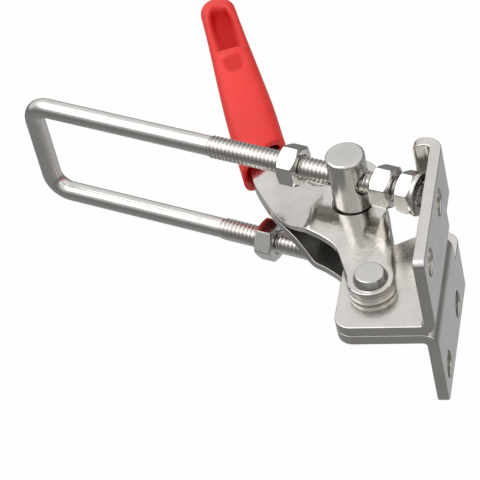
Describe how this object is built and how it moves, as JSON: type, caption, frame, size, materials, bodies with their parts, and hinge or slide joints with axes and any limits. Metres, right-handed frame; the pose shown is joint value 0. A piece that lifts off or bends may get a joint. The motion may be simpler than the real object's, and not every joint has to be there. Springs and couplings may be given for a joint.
{
  "type": "over centre toggle latch",
  "caption": "Over centre toggle latch with folded angle brackets, a red sleeved lever and a threaded U bolt that draws a catch tight.",
  "frame": {"origin": "centre of the rectangle of mounting holes, on the mounting face", "axes": "+X out of the mounting face into the wall that the latch is screwed to, +Y along the flanges from the pivot end to the stop tabs, +Z along the hinge axes"},
  "size_m": [0.1197, 0.1342, 0.049],
  "materials": {
    "sheet_steel": "satin stainless sheet",
    "fastener_steel": "bright stainless",
    "grip_vinyl": "soft red dipped vinyl"
  },
  "bodies": {
    "base": {"upper_bracket": "sheet_steel", "lower_bracket": "sheet_steel", "pivot_rivet": "fastener_steel", "upper_pivot_washer": "fastener_steel", "lower_pivot_washer": "fastener_steel"},
    "handle": {"upper_handle_half": "sheet_steel", "lower_handle_half": "sheet_steel", "grip": "grip_vinyl"},
    "bolt": {"trunnion_pin": "fastener_steel", "u_bolt": "fastener_steel", "upper_outer_nut": "fastener_steel", "upper_inner_nut": "fastener_steel", "upper_end_nut": "fastener_steel", "lower_outer_nut": "fastener_steel", "lower_inner_nut": "fastener_steel", "lower_end_nut": "fastener_steel"}
  },
  "joints": [
    {"name": "handle_hinge", "type": "hinge", "parent": "base", "child": "handle", "pos_m": [-0.0172, -0.0046, 0], "axis": [0, 0, 1], "range_deg": [0, 110]},
    {"name": "bolt_swing", "type": "hinge", "parent": "handle", "child": "bolt", "pos_m": [-0.0248, 0.0232, 0], "axis": [0, 0, 1], "range_deg": [-30, 0]}
  ]
}
